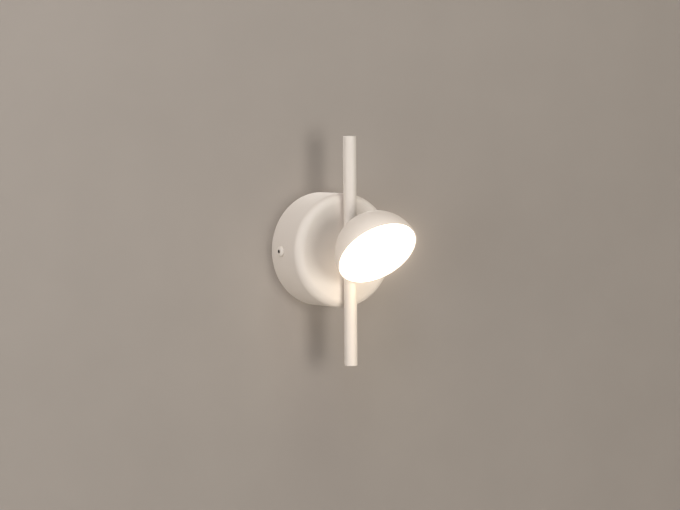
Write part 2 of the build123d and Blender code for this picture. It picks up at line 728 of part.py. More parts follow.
def led_board():
    board = peg(0, 0, LED_BOARD_R, LED_BOARD_FRONT, SINK_FRONT)
    for x, z in board_screw_places():
        board -= peg(x, z, M25[0] + FREE_HOLE, LED_BOARD_FRONT - 1, SINK_FRONT + 1)
    return in_head(board)


def board_screws():
    size = screw(M25, LED_SCREW_LENGTH)
    return [in_head(facing_room(x, LED_BOARD_FRONT, z) * size) for x, z in board_screw_places()]


def led_chips():
    chips = []
    for ring_index, count in enumerate(LED_RING_COUNTS):
        for index in range(count):
            chip = block(
                around(ring_index * LED_RING_PITCH, LED_SIDE),
                (LED_BOARD_FRONT - LED_THICK, LED_BOARD_FRONT),
                around(0, LED_SIDE),
            )
            chips.append(in_head(Rot(0, 360 * index / count, 0) * chip))
    return chips


def board_connector():
    body = block(around(PLUG_X, PLUG_LENGTH), (SINK_FRONT, SINK_FRONT + PLUG_HEIGHT), around(0, PLUG_WIDTH))
    return in_head(fillet(body.edges().group_by(Axis.Y)[-1], 0.5))


def reflector_ring():
    """A white cone that stands on the heat sink around the board and backs the diffuser's edge."""
    inner_r = LED_BOARD_R + DROP_IN
    foot_r = inner_r + REFLECTOR_WALL
    lip_back = DISC_THICK + REFLECTOR_LIP
    lip_r = sqrt(DOME_INNER_R**2 - lip_back**2) - DROP_IN
    cone = turned(
        (inner_r, SINK_FRONT),
        (foot_r, SINK_FRONT),
        (foot_r, SINK_FRONT - REFLECTOR_WALL),
        (lip_r, lip_back),
        (lip_r, DISC_THICK),
        (lip_r - REFLECTOR_WALL, DISC_THICK),
        (inner_r, SINK_FRONT - 2 * REFLECTOR_WALL),
    )
    return in_head(cone)


def diffuser():
    middle, slope = DISC_THICK / 2, DISC_BEAD * 0.9
    disc = turned(
        (0, 0),
        (DISC_R - DISC_EDGE, 0),
        (DISC_R, DISC_EDGE),
        (DISC_R, middle - slope),
        (DISC_R + DISC_BEAD, middle),
        (DISC_R, middle + slope),
        (DISC_R, DISC_THICK),
        (0, DISC_THICK),
    )
    return in_head(disc)


def head_lead():
    """Loose lead from the neck's tip to the connector, bent as it lies in the rest pose."""
    reach = DOME_OUT - NECK_TIP_OUT
    bend_reach = reach - HEAD_STRAIGHT
    toward = (cos(radians(REST_TILT)), -sin(radians(REST_TILT)))
    plug_y = SINK_FRONT + PLUG_ENTRY
    socket_x = PLUG_X - PLUG_LENGTH / 2
    points = [
        (0, reach * toward[0], reach * toward[1]),
        (0, bend_reach * toward[0], bend_reach * toward[1]),
        (0.23 * socket_x, plug_y, -0.23 * reach),
        (0.6 * socket_x, plug_y, 0),
        (socket_x, plug_y, 0),
    ]
    return in_head(tube_along(points, HEAD_BENDS, LAMP_LEAD_R))


# ---------------------------------------------------------------- files

SUB_PARTS = (
    canopy_cover,
    cover_screws,
    rod,
    rear_saddle,
    front_saddle,
    wall_bracket,
    cable_grommet,
    earth_screw,
    earth_lead,
    driver_case,
    driver_lid,
    driver_board,
    driver_parts,
    driver_screws,
    terminal_block,
    terminal_screws,
    terminal_mount_screw,
    input_leads,
    lamp_lead,
    neck_tube,
    neck_washer,
    neck_nut,
    stop_washer,
    spring_washer,
    front_nut,
    slot_shoe,
    dome_shell,
    heat_sink,
    heat_sink_screws,
    led_board,
    board_screws,
    led_chips,
    board_connector,
    reflector_ring,
    diffuser,
    head_lead,
)

for make in SUB_PARTS:
    shape = make()
    if isinstance(shape, list):
        shape = Compound(children=shape)
    export_step(shape, f"parts/{make.__name__}.step")
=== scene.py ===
# %% [markdown]
# # A pivoting wall spotlight
#
# The light has a round canopy on the wall, a slim rod and a half-sphere head with an opal disc.
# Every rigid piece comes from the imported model, so this lesson is about what the model lacks:
# finishes, threads, wires, the wall behind it and the light that falls on it.

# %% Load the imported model
import json
from math import cos, pi, radians, sin

import bmesh
import bpy
from mathutils import Matrix, Vector

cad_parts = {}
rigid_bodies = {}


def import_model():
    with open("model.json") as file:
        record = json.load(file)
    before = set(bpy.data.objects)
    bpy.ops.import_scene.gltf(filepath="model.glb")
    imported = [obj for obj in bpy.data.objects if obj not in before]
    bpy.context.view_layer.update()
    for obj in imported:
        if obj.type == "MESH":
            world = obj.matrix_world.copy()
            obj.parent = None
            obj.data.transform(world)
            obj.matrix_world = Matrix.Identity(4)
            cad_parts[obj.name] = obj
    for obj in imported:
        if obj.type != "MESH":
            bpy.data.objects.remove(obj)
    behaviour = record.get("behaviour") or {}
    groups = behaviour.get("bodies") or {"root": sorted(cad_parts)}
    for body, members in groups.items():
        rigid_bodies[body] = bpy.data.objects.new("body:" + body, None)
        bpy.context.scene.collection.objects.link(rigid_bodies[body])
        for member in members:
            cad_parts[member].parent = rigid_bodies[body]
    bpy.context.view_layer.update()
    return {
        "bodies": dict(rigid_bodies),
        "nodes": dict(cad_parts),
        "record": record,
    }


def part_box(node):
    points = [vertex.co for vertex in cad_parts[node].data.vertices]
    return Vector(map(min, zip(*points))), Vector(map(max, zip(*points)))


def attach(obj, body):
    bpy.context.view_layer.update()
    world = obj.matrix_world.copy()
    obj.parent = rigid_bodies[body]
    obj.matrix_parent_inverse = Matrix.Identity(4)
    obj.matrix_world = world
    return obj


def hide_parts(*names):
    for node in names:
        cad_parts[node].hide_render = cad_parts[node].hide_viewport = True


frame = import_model()
nodes = frame["nodes"]

# %% [markdown]
# ## The camera
#
# The photograph was taken from the light's left and a little above it, with a long lens.
# The camera is placed by two angles and a distance, because that is how it was found: by fitting
# the canopy, the rod and the head to their edges in the picture.

# %% Place the camera
MM = 0.001
IMAGE_WIDTH = 680
SENSOR = 36
TURN, RISE, ROLL = radians(32.72), radians(3.25), radians(0.38)
DISTANCE = 2500 * MM
PIXELS_PER_MM = 1.13
SHIFT_RIGHT, SHIFT_UP = -17.58 * MM, 5.72 * MM

toward_camera = Vector((-sin(TURN) * cos(RISE), -cos(TURN) * cos(RISE), sin(RISE)))
level_right = Vector((cos(TURN), -sin(TURN), 0))
straight_up = toward_camera.cross(level_right)
right = cos(ROLL) * level_right - sin(ROLL) * straight_up
up = sin(ROLL) * level_right + cos(ROLL) * straight_up
place = toward_camera * DISTANCE - level_right * SHIFT_RIGHT - straight_up * SHIFT_UP

camera_data = bpy.data.cameras.new("camera")
camera_data.sensor_width = SENSOR
camera_data.lens = PIXELS_PER_MM / MM * DISTANCE * SENSOR / IMAGE_WIDTH
camera = bpy.data.objects.new("camera", camera_data)
camera.matrix_world = Matrix.Translation(place) @ Matrix((right, up, toward_camera)).transposed().to_4x4()
bpy.context.scene.collection.objects.link(camera)
bpy.context.scene.camera = camera
print("lens", round(camera_data.lens, 1), "mm, place", [round(value, 3) for value in place])


# %% [markdown]
# ## Node helpers
#
# Materials are small graphs. Two helpers keep them readable: one adds a node with its settings, and
# one starts a material from the Principled shader with the values that are the same all over.

# %% Node helpers
def add_node(tree, kind, settings=None, values=None, label=""):
    """Adds a node, sets its properties and its sockets' own values."""
    node = tree.nodes.new(kind)
    node.label = label
    for name, value in (settings or {}).items():
        setattr(node, name, value)
    for name, value in (values or {}).items():
        node.inputs[name].default_value = value
    return node


def link(tree, start, end):
    tree.links.new(start, end)


# A Mix node's sockets for colours and for plain values share their names, so they go by number.
COLOUR_A, COLOUR_B, COLOUR_RESULT = 6, 7, 2
VALUE_A, VALUE_B, VALUE_RESULT = 2, 3, 0


def start_material(name, colour, roughness, **more):
    """A Principled material. Extra values are given by socket name with underscores."""
    material = bpy.data.materials.new(name)
    material.use_nodes = True
    tree = material.node_tree
    shader = tree.nodes["Principled BSDF"]
    shader.inputs["Base Color"].default_value = (*colour, 1)
    shader.inputs["Roughness"].default_value = roughness
    for socket, value in more.items():
        shader.inputs[socket.replace("_", " ")].default_value = value
    material.diffuse_color = (*colour, 1)
    return material, tree, shader


# %% [markdown]
# ## Grain
#
# Powder coat, moulded plastic and wall paint all share one thing: a fine, even unevenness, with a
# slow drift of shade over it. One node group makes both from two noises. It gives out a colour
# between two shades, a roughness and a height, and each finish sets its own scale.

# %% The grain group
def make_grain_group():
    group = bpy.data.node_groups.new("grain", "ShaderNodeTree")
    face = group.interface
    for name, kind in (
        ("Fine Scale", "NodeSocketFloat"),
        ("Broad Scale", "NodeSocketFloat"),
        ("Light Shade", "NodeSocketColor"),
        ("Dark Shade", "NodeSocketColor"),
        ("Smooth", "NodeSocketFloat"),
        ("Rough", "NodeSocketFloat"),
    ):
        face.new_socket(name, in_out="INPUT", socket_type=kind)
    for name, kind in (
        ("Colour", "NodeSocketColor"),
        ("Roughness", "NodeSocketFloat"),
        ("Height", "NodeSocketFloat"),
    ):
        face.new_socket(name, in_out="OUTPUT", socket_type=kind)
    given = add_node(group, "NodeGroupInput")
    result = add_node(group, "NodeGroupOutput")
    place = add_node(group, "ShaderNodeTexCoord")
    fine = add_node(group, "ShaderNodeTexNoise", values={"Detail": 3, "Roughness": 0.6}, label="grain")
    broad = add_node(group, "ShaderNodeTexNoise", values={"Detail": 2}, label="drift of shade")
    for noise, name in ((fine, "Fine Scale"), (broad, "Broad Scale")):
        link(group, place.outputs["Object"], noise.inputs["Vector"])
        link(group, given.outputs[name], noise.inputs["Scale"])
    both = add_node(group, "ShaderNodeMix", {"data_type": "FLOAT"}, {"Factor": 0.35}, "mostly drift")
    link(group, broad.outputs["Fac"], both.inputs["A"])
    link(group, fine.outputs["Fac"], both.inputs["B"])
    spread = add_node(
        group, "ShaderNodeMapRange", values={"From Min": 0.35, "From Max": 0.65}, label="more contrast"
    )
    link(group, both.outputs["Result"], spread.inputs["Value"])
    shade = add_node(group, "ShaderNodeMix", {"data_type": "RGBA"})
    link(group, spread.outputs["Result"], shade.inputs["Factor"])
    link(group, given.outputs["Dark Shade"], shade.inputs[COLOUR_A])
    link(group, given.outputs["Light Shade"], shade.inputs[COLOUR_B])
    rough = add_node(group, "ShaderNodeMapRange", values={"From Min": 0.3, "From Max": 0.7})
    link(group, fine.outputs["Fac"], rough.inputs["Value"])
    link(group, given.outputs["Smooth"], rough.inputs["To Min"])
    link(group, given.outputs["Rough"], rough.inputs["To Max"])
    link(group, shade.outputs[COLOUR_RESULT], result.inputs["Colour"])
    link(group, rough.outputs["Result"], result.inputs["Roughness"])
    link(group, fine.outputs["Fac"], result.inputs["Height"])
    return group


GRAIN = make_grain_group()


def grained(name, light, dark, fine, broad, smooth, rough, depth, **more):
    """A finish with grain. Scales are per metre and depth is in metres."""
    material, tree, shader = start_material(name, light, rough, **more)
    grain = add_node(tree, "ShaderNodeGroup", {"node_tree": GRAIN}, label="grain")
    settings = {
        "Fine Scale": fine,
        "Broad Scale": broad,
        "Light Shade": (*light, 1),
        "Dark Shade": (*dark, 1),
        "Smooth": smooth,
        "Rough": rough,
    }
    for socket, value in settings.items():
        grain.inputs[socket].default_value = value
    bump = add_node(tree, "ShaderNodeBump", values={"Strength": 1, "Distance": depth})
    link(tree, grain.outputs["Colour"], shader.inputs["Base Color"])
    link(tree, grain.outputs["Roughness"], shader.inputs["Roughness"])
    link(tree, grain.outputs["Height"], bump.inputs["Height"])
    link(tree, bump.outputs["Normal"], shader.inputs["Normal"])
    return material


# %% [markdown]
# ## The wall and the floor
#
# The light hangs on a plain painted wall, so a wall stands behind it, with a pale floor some way
# below. Seen from behind, the wall would hide the back of the light, so its back face lets light
# through: Geometry's Backfacing chooses between paint and nothing.

# %% Build the wall and the floor
WALL_SIZE = 2.4
FLOOR_BELOW = 0.9
WALL_GAP = 0.0004


def flat_sheet(name, size, matrix):
    sheet = bmesh.new()
    bmesh.ops.create_grid(sheet, x_segments=1, y_segments=1, size=size / 2)
    bmesh.ops.transform(sheet, matrix=matrix, verts=sheet.verts)
    mesh = bpy.data.meshes.new(name)
    sheet.to_mesh(mesh)
    sheet.free()
    obj = bpy.data.objects.new(name, mesh)
    bpy.context.scene.collection.objects.link(obj)
    return obj


wall = flat_sheet("wall", WALL_SIZE, Matrix.Translation((0, WALL_GAP, 0)) @ Matrix.Rotation(pi / 2, 4, "X"))
floor = flat_sheet("floor", 2 * WALL_SIZE, Matrix.Translation((0, 0, -FLOOR_BELOW)))
print("wall faces", [round(value, 2) for value in wall.data.polygons[0].normal])

wall_paint = grained(
    "wall_paint", (0.40, 0.355, 0.318), (0.385, 0.342, 0.306), 900, 14, 0.75, 0.9, 0.00003
)
tree = wall_paint.node_tree
paint = tree.nodes["Principled BSDF"]
paint.inputs["Specular IOR Level"].default_value = 0.2
nothing = add_node(tree, "ShaderNodeBsdfTransparent")
which_side = add_node(tree, "ShaderNodeNewGeometry")
choose = add_node(tree, "ShaderNodeMixShader", label="paint in front, nothing behind")
link(tree, which_side.outputs["Backfacing"], choose.inputs[0])
link(tree, paint.outputs[0], choose.inputs[1])
link(tree, nothing.outputs[0], choose.inputs[2])
link(tree, choose.outputs[0], tree.nodes["Material Output"].inputs["Surface"])
wall.data.materials.append(wall_paint)

floor_paint = grained(
    "floor_paint", (0.62, 0.60, 0.57), (0.60, 0.58, 0.55), 400, 6, 0.7, 0.85, 0.00003
)
floor.data.materials.append(floor_paint)
wall.visible_shadow = False

# %% [markdown]
# ## Studio light
#
# The rod's shadow on the wall is soft, level and a little to the left. So the main light is a wide
# disk almost straight ahead, 4.6 degrees to the right. The wall is brightest at its upper left and
# falls off to the right, which takes smaller disks on the left and overhead that stand nearer. Their
# powers were found by rendering each one alone and solving for the mix that gives the photograph's
# shades. The back light stands behind the wall, for the views of the lamp's back. The floor light
# hangs low and faces down, so that it reaches only the floor. The pale world is there to be seen and
# mirrored: its diffuse light is off, or it would wash out the shadows.

# %% Place the lights
def panel(name, place, target, size, watts, colour=(1, 1, 1)):
    data = bpy.data.lights.new(name, "AREA")
    data.shape = "DISK"
    data.size = size
    data.energy = watts
    data.color = colour
    obj = bpy.data.objects.new(name, data)
    way = Vector(place) - Vector(target)
    obj.matrix_world = Matrix.Translation(place) @ way.to_track_quat("Z", "Y").to_matrix().to_4x4()
    obj.visible_camera = False
    bpy.context.scene.collection.objects.link(obj)
    return obj


def around_lamp(turn, rise, distance):
    """A place in the room, by its angles to the right of the lamp's front and above it."""
    turn, rise = radians(turn), radians(rise)
    return Vector((sin(turn) * cos(rise), -cos(turn) * cos(rise), sin(rise))) * distance


LAMP_MIDDLE = (0, -50 * MM, 0)
for name, turn, rise, distance, size, watts, colour in (
    ("key_light", 4.6, 0, 2.6, 1.25, 31.5, (1.0, 0.975, 0.925)),
    ("side_light", -65, 0, 1.2, 0.6, 3.3, (0.945, 0.99, 1.0)),
    ("grazing_light", -82, 15, 1.1, 0.5, 2.2, (1.0, 0.89, 0.80)),
    ("upper_left_light", -40, 45, 1.3, 0.6, 2.3, (0.79, 0.80, 1.0)),
    ("overhead_light", 0, 65, 1.3, 0.6, 3.9, (0.98, 1.0, 0.90)),
    ("right_light", 60, 60, 2.6, 1.2, 2.5, (1.0, 0.6, 0.5)),
):
    panel(name, around_lamp(turn, rise, distance), LAMP_MIDDLE, size, watts, colour)
panel("back_light", (0.6, 1.8, 0.35), (0, 0, 0), 1.2, 25, (1.0, 0.97, 0.93))
panel("floor_light", (1.7, -1.8, -0.35), (1.7, -1.8, -FLOOR_BELOW), 1.8, 8, (1.0, 0.97, 0.93))

world = bpy.data.worlds.new("soft_room")
world.use_nodes = True
world.node_tree.nodes["Background"].inputs["Color"].default_value = (1.0, 0.95, 0.90, 1)
world.node_tree.nodes["Background"].inputs["Strength"].default_value = 0.45
world.cycles_visibility.diffuse = False
bpy.context.scene.world = world
bpy.context.scene.view_settings.view_transform = "Standard"

# %% [markdown]
# ## The lamp's own glow
#
# The disc is a real light source, but it faces forward and down, away from the canopy. In the
# photograph its warm light still reaches the lower rod and the canopy's lower face, so two small
# warm disk lights hang just below it and shine back. They ride on the head, so the glow follows a tilt.
# The camera's lens adds a faint halo round the burnt-out disc, which is a Glare node after the render.

# %% Glow of the lamp
joint = frame["record"]["behaviour"]["joints"][0]
HEAD_CENTRE = Vector(joint["pos_m"])
head_body = frame["bodies"]["head"]
for name, place, target, size, watts, colour in (
    ("wide_glow", (0, -105, -75), (0, -45, -65), 60, 0.0095, (1.0, 0.80, 0.60)),
    ("rim_glow", (0, -71.5, -33.5), (0, -30, -60), 16, 0.0021, (1.0, 0.82, 0.56)),
):
    glow = panel(name, Vector(place) * MM, Vector(target) * MM, size * MM, watts, colour)
    glow.parent = head_body
    glow.matrix_parent_inverse = head_body.matrix_world.inverted()

bpy.context.scene.use_nodes = True
picture = bpy.context.scene.node_tree
picture.nodes.clear()
rendered = picture.nodes.new("CompositorNodeRLayers")
halo = picture.nodes.new("CompositorNodeGlare")
halo.glare_type = "BLOOM"
halo.quality = "HIGH"
for socket, value in (("Threshold", 1.0), ("Strength", 0.38), ("Size", 0.35), ("Maximum", 3.0)):
    halo.inputs[socket].default_value = value
halo.inputs["Tint"].default_value = (1.0, 0.85, 0.73, 1)
final = picture.nodes.new("CompositorNodeComposite")
picture.links.new(rendered.outputs["Image"], halo.inputs["Image"])
picture.links.new(halo.outputs[0], final.inputs["Image"])
print("head centre", [round(value, 3) for value in HEAD_CENTRE])

# %% [markdown]
# ## Powder coat
#
# Canopy, rod and head share one matt powder coat in a warm off-white. Powder melts into a skin that
# is never quite flat: fine grain about half a millimetre across and a hundredth deep, and a slow
# drift of shade. Both come from the grain group.

# %% Powder coat
powder_coat = grained(
    "powder_coat", (0.80, 0.735, 0.67), (0.785, 0.72, 0.655), 2200, 25, 0.5, 0.62, 0.000012
)

# %% [markdown]
# ## A mask in the shape of a box
#
# Some CAD pieces hold more than one stuff, such as a transformer with its tape. Their meshes aren't
# cut up, so the second stuff is laid on by a mask, and the same mask lays painted shade into the side
# screws' sockets. This group gives 1 inside a box that is stated by two opposite corners, and 0 outside it.
# It compares the Object coordinates with both corners.

# %% The box mask group
def make_box_mask():
    group = bpy.data.node_groups.new("inside_box", "ShaderNodeTree")
    group.interface.new_socket("Low", in_out="INPUT", socket_type="NodeSocketVector")
    group.interface.new_socket("High", in_out="INPUT", socket_type="NodeSocketVector")
    group.interface.new_socket("Mask", in_out="OUTPUT", socket_type="NodeSocketFloat")
    given = add_node(group, "NodeGroupInput")
    result = add_node(group, "NodeGroupOutput")
    place = add_node(group, "ShaderNodeTexCoord")
    last = None
    for name, order in (("Low", (0, 1)), ("High", (1, 0))):
        gap = add_node(group, "ShaderNodeVectorMath", {"operation": "SUBTRACT"}, label="distance inside")
        link(group, place.outputs["Object"], gap.inputs[order[0]])
        link(group, given.outputs[name], gap.inputs[order[1]])
        parts = add_node(group, "ShaderNodeSeparateXYZ")
        link(group, gap.outputs["Vector"], parts.inputs["Vector"])
        for axis in "XYZ":
            inside = add_node(group, "ShaderNodeMath", {"operation": "GREATER_THAN"}, {1: 0.0})
            link(group, parts.outputs[axis], inside.inputs[0])
            if last is None:
                last = inside
                continue
            both = add_node(group, "ShaderNodeMath", {"operation": "MULTIPLY"}, label="and")
            link(group, last.outputs[0], both.inputs[0])
            link(group, inside.outputs[0], both.inputs[1])
            last = both
    link(group, last.outputs[0], result.inputs["Mask"])
    return group


BOX_MASK = make_box_mask()


def second_colour(material, colour, low, high, roughness=None):
    """Lays another colour over a material inside a box, given in millimetres."""
    tree = material.node_tree
    shader = tree.nodes["Principled BSDF"]
    mask = add_node(tree, "ShaderNodeGroup", {"node_tree": BOX_MASK}, label="where another stuff or painted shade lies")
    mask.inputs["Low"].default_value = [value * MM for value in low]
    mask.inputs["High"].default_value = [value * MM for value in high]
    for socket, value, kind, (first, second, result) in (
        ("Base Color", (*colour, 1), "RGBA", (COLOUR_A, COLOUR_B, COLOUR_RESULT)),
        ("Roughness", roughness, "FLOAT", (VALUE_A, VALUE_B, VALUE_RESULT)),
    ):
        if value is None:
            continue
        mix = add_node(tree, "ShaderNodeMix", {"data_type": kind}, label="one colour or the other")
        link(tree, mask.outputs["Mask"], mix.inputs[0])
        link(tree, shader.inputs[socket].links[0].from_socket, mix.inputs[first])
        mix.inputs[second].default_value = value
        link(tree, mix.outputs[result], shader.inputs[socket])


# %% [markdown]
# ## The side screws
#
# The canopy's two button screws wear the same coat. The inside of their hexagon sockets is
# painted near black: painted shade, for the shade deep in the recess. Only the socket's floor and
# walls lie this near the screw's middle and this deep, so a slim box mask along X finds them on both screws.

# %% Coated screws with painted shade in the socket
SIDE_SCREW_OUT = 15.5
SOCKET_HALF = 1.8
SOCKET_RIM = 0.05
screw_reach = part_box("cover_screws")[1][0] / MM
screw_coat_with_painted_socket_shade = grained(
    "screw_coat_with_painted_socket_shade", (0.82, 0.76, 0.70), (0.80, 0.735, 0.67), 2200, 25, 0.32, 0.45, 0.000008
)
# The near-black colour laid on here is painted shade on the sockets' floors and walls.
second_colour(
    screw_coat_with_painted_socket_shade,
    (0.05, 0.045, 0.04),
    (-screw_reach + SOCKET_RIM, -SIDE_SCREW_OUT - SOCKET_HALF, -SOCKET_HALF),
    (screw_reach - SOCKET_RIM, -SIDE_SCREW_OUT + SOCKET_HALF, SOCKET_HALF),
)
print("screws reach", round(screw_reach, 2), "mm to each side")

# %% [markdown]
# ## The opal disc
#
# The disc is milky plastic, lit from behind by a ring of light-emitting diodes. It is a little
# dimmer towards its rim, where fewer of them shine through. The distance from the head's axis is the
# length of a cross product: of the way from the head's centre, and of the axis.

# %% Opal, lit from behind
REST_TILT = radians(43)
AXIS = Vector((0, -cos(REST_TILT), -sin(REST_TILT)))
diffuser_low, diffuser_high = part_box("diffuser")
DISC_RADIUS = (diffuser_high[0] - diffuser_low[0]) / 2
DIM_FROM = 0.80
MIDDLE_LIGHT, RIM_LIGHT = (1.0, 0.93, 0.80, 1), (0.92, 0.80, 0.62, 1)

opal, tree, shader = start_material("opal", (0.95, 0.92, 0.86), 0.38, Emission_Strength=2.4)
place = add_node(tree, "ShaderNodeTexCoord")
from_centre = add_node(
    tree, "ShaderNodeVectorMath", {"operation": "SUBTRACT"}, {1: HEAD_CENTRE}, "way from the centre"
)
across = add_node(tree, "ShaderNodeVectorMath", {"operation": "CROSS_PRODUCT"}, {1: AXIS})
radius = add_node(tree, "ShaderNodeVectorMath", {"operation": "LENGTH"}, label="distance from the axis")
dim = add_node(
    tree,
    "ShaderNodeMapRange",
    {"interpolation_type": "SMOOTHSTEP"},
    {"From Min": DIM_FROM * DISC_RADIUS, "From Max": DISC_RADIUS},
    "dimmer at the rim",
)
shine = add_node(tree, "ShaderNodeMix", {"data_type": "RGBA"}, label="colour of the light")
shine.inputs[COLOUR_A].default_value = MIDDLE_LIGHT
shine.inputs[COLOUR_B].default_value = RIM_LIGHT
link(tree, place.outputs["Object"], from_centre.inputs[0])
link(tree, from_centre.outputs[0], across.inputs[0])
link(tree, across.outputs[0], radius.inputs[0])
link(tree, radius.outputs["Value"], dim.inputs["Value"])
link(tree, dim.outputs["Result"], shine.inputs["Factor"])
link(tree, shine.outputs[COLOUR_RESULT], shader.inputs["Emission Color"])
print("disc radius", round(DISC_RADIUS / MM, 1), "mm")

# %% [markdown]
# ## Metals
#
# Brackets, nuts, washers and screws are zinc plated: a pale grey metal, a little blotchy and never
# mirror bright. The neck is the same metal with a thread, which is too fine to model along its whole
# length, so it is a bump. A thread is a helix, so its height depends on the place along the neck plus
# the turn about it: one pitch further along for each full turn. The heat sink is bare sheet with
# the long straight lines of the rolling mill, from a noise that is stretched along X.

# %% Zinc and the neck's thread
def zinc_plate(name):
    return grained(name, (0.62, 0.61, 0.585), (0.50, 0.50, 0.49), 1400, 90, 0.28, 0.42, 0.000006, Metallic=1)


THREAD_PITCH = 1.0 * MM
THREAD_DEPTH = 0.35 * MM
zinc = zinc_plate("zinc")
threaded_zinc = zinc_plate("threaded_zinc")
tree = threaded_zinc.node_tree
place = add_node(tree, "ShaderNodeTexCoord")
parts = add_node(tree, "ShaderNodeSeparateXYZ")
turn = add_node(tree, "ShaderNodeMath", {"operation": "ARCTAN2"}, label="turn about the neck")
turns = add_node(tree, "ShaderNodeMath", {"operation": "MULTIPLY"}, {1: 1 / (2 * pi)})
along = add_node(tree, "ShaderNodeMath", {"operation": "MULTIPLY_ADD"}, {1: 1 / THREAD_PITCH}, "pitches")
ridge = add_node(tree, "ShaderNodeMath", {"operation": "PINGPONG"}, {1: 0.5}, "up and down a ridge")
thread = add_node(tree, "ShaderNodeBump", values={"Strength": 1, "Distance": THREAD_DEPTH * 2})
link(tree, place.outputs["Object"], parts.inputs[0])
link(tree, parts.outputs["X"], turn.inputs[0])
link(tree, parts.outputs["Z"], turn.inputs[1])
link(tree, turn.outputs[0], turns.inputs[0])
link(tree, parts.outputs["Y"], along.inputs[0])
link(tree, turns.outputs[0], along.inputs[2])
link(tree, along.outputs[0], ridge.inputs[0])
link(tree, ridge.outputs[0], thread.inputs["Height"])
shader = tree.nodes["Principled BSDF"]
link(tree, shader.inputs["Normal"].links[0].from_socket, thread.inputs["Normal"])
link(tree, thread.outputs["Normal"], shader.inputs["Normal"])

# %% Rolled sheet
rolled, tree, shader = start_material("rolled_aluminium", (0.77, 0.77, 0.78), 0.35, Metallic=1)
place = add_node(tree, "ShaderNodeTexCoord")
stretch = add_node(tree, "ShaderNodeMapping", values={"Scale": (0.03, 1, 1)}, label="long along X")
lines = add_node(tree, "ShaderNodeTexNoise", values={"Scale": 2500, "Detail": 4}, label="roller lines")
shade = add_node(tree, "ShaderNodeMix", {"data_type": "RGBA"})
shade.inputs[COLOUR_A].default_value = (0.66, 0.66, 0.67, 1)
shade.inputs[COLOUR_B].default_value = (0.82, 0.82, 0.83, 1)
gloss = add_node(tree, "ShaderNodeMapRange", values={"To Min": 0.25, "To Max": 0.45})
ripple = add_node(tree, "ShaderNodeBump", values={"Strength": 1, "Distance": 0.000004})
link(tree, place.outputs["Object"], stretch.inputs["Vector"])
link(tree, stretch.outputs[0], lines.inputs["Vector"])
link(tree, lines.outputs["Fac"], shade.inputs["Factor"])
link(tree, lines.outputs["Fac"], gloss.inputs["Value"])
link(tree, lines.outputs["Fac"], ripple.inputs["Height"])
link(tree, shade.outputs[COLOUR_RESULT], shader.inputs["Base Color"])
link(tree, gloss.outputs["Result"], shader.inputs["Roughness"])
link(tree, ripple.outputs["Normal"], shader.inputs["Normal"])

# %% [markdown]
# ## Plastics and rubber
#
# These are moulded, so each shows the fine spark-eroded grain of its mould, at its own depth:
# the driver's housing coarse and matt, the terminal block finer, the slippery saddle and shoe waxy
# and a little see-through, the grommet soft and black.

# %% Moulded pieces
acetal = grained(
    "acetal", (0.80, 0.78, 0.72), (0.77, 0.75, 0.69), 1800, 60, 0.30, 0.38, 0.000004,
    Subsurface_Weight=0.15, Subsurface_Scale=0.001,
)
rubber = grained("black_rubber", (0.028, 0.028, 0.027), (0.018, 0.018, 0.018), 2600, 80, 0.6, 0.78, 0.00002)
housing = grained("housing", (0.80, 0.80, 0.785), (0.76, 0.76, 0.745), 1500, 40, 0.45, 0.62, 0.00003)
terminal = grained("terminal", (0.70, 0.705, 0.68), (0.66, 0.665, 0.64), 2400, 60, 0.35, 0.5, 0.00001)
reflector = grained("reflector", (0.90, 0.90, 0.885), (0.87, 0.87, 0.855), 2400, 60, 0.28, 0.4, 0.000006)

# %% [markdown]
# ## The driver's components
#
# One CAD node holds the blocks and round parts on the driver's board. Most are black, the transformer's
# winding is wrapped in yellow tape, and the two wire blocks are green.

# %% Components
components = grained(
    "components", (0.045, 0.045, 0.05), (0.03, 0.03, 0.034), 1600, 120, 0.3, 0.5, 0.00001
)
part_low, part_high = ([value / MM for value in corner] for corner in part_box("driver_parts"))
WIRE_BLOCK_TOP, TAPE_BOTTOM = 19.5, 20.0
TAPE_LEFT, TAPE_RIGHT = -2.05, 8.05
PAST_ALL = 30
tape_low = (TAPE_LEFT, -PAST_ALL, TAPE_BOTTOM)
tape_high = (TAPE_RIGHT, 0, part_high[2] + 1)
second_colour(components, (0.78, 0.58, 0.06), tape_low, tape_high, 0.35)
blocks_low = (-PAST_ALL, -PAST_ALL, part_low[2] - 1)
blocks_high = (PAST_ALL, 0, WIRE_BLOCK_TOP)
second_colour(components, (0.05, 0.30, 0.12), blocks_low, blocks_high, 0.4)

# %% [markdown]
# ## Circuit boards
#
# A board shows its copper tracks as slightly lighter lines under a coloured varnish. Tracks run
# straight and turn at right angles, so the joints of a Brick Texture stand in for them. The texture
# works in X and Y, and the boards lie across Y, so Mapping turns the coordinates.

# %% Boards with tracks
def circuit_board(name, varnish, track, turn, roughness):
    material, tree, shader = start_material(name, varnish, roughness)
    place = add_node(tree, "ShaderNodeTexCoord")
    flat = add_node(tree, "ShaderNodeMapping", values={"Rotation": (turn, 0, 0)}, label="board's plane")
    tracks = add_node(
        tree,
        "ShaderNodeTexBrick",
        values={
            "Color1": (*varnish, 1),
            "Color2": (*[value * 0.93 for value in varnish], 1),
            "Mortar": (*track, 1),
            "Scale": 1000,
            "Mortar Size": 0.35,
            "Mortar Smooth": 0.1,
            "Brick Width": 5.5,
            "Row Height": 2.6,
        },
    )
    relief = add_node(tree, "ShaderNodeBump", values={"Strength": 1, "Distance": 0.00003})
    link(tree, place.outputs["Object"], flat.inputs["Vector"])
    link(tree, flat.outputs[0], tracks.inputs["Vector"])
    link(tree, tracks.outputs["Color"], shader.inputs["Base Color"])
    link(tree, tracks.outputs["Fac"], relief.inputs["Height"])
    link(tree, relief.outputs["Normal"], shader.inputs["Normal"])
    return material


